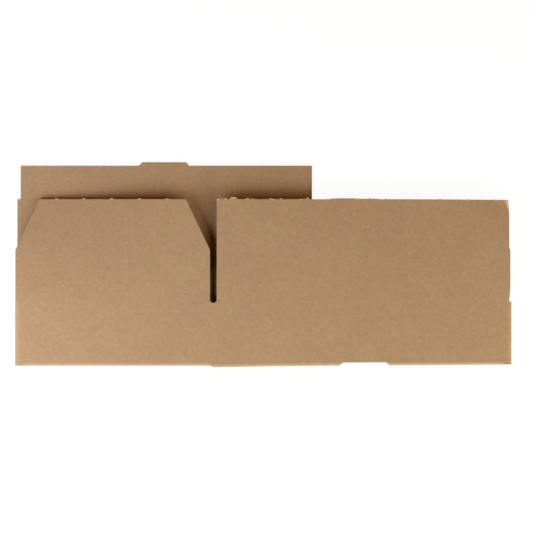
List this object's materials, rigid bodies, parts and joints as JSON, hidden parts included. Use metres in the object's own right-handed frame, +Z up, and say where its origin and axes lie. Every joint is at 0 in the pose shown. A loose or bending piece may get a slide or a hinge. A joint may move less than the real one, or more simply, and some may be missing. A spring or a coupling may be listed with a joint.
{
  "type": "auto-lock bottom carton",
  "caption": "Auto-lock bottom carton in brown corrugated board, glued and knocked flat, with top flaps that swing open.",
  "frame": {"origin": "middle of the underside, on the surface that the flat carton lies on", "axes": "+X along the folded width from the front side wall to the front long wall, +Y from the bottom fold to the top flaps, +Z up through the layers"},
  "size_m": [0.5062, 0.2094, 0.0154],
  "materials": {
    "board": "unprinted brown kraft liner",
    "glue": "dried packaging adhesive"
  },
  "bodies": {
    "folded_sheet": {"carton": "board", "seam_glue": "glue", "left_tab_glue": "glue", "right_tab_glue": "glue"},
    "front_top_flap": {"front_flap": "board"},
    "side_top_flap": {"side_flap": "board"}
  },
  "joints": [
    {"name": "front_flap_crease", "type": "hinge", "parent": "folded_sheet", "child": "front_top_flap", "pos_m": [0.1017, -0.0372, 0.0154], "axis": [1, 0, 0], "range_deg": [0, 175]},
    {"name": "side_flap_crease", "type": "hinge", "parent": "folded_sheet", "child": "side_top_flap", "pos_m": [-0.1535, -0.0372, 0.0154], "axis": [1, 0, 0], "range_deg": [0, 175]}
  ]
}
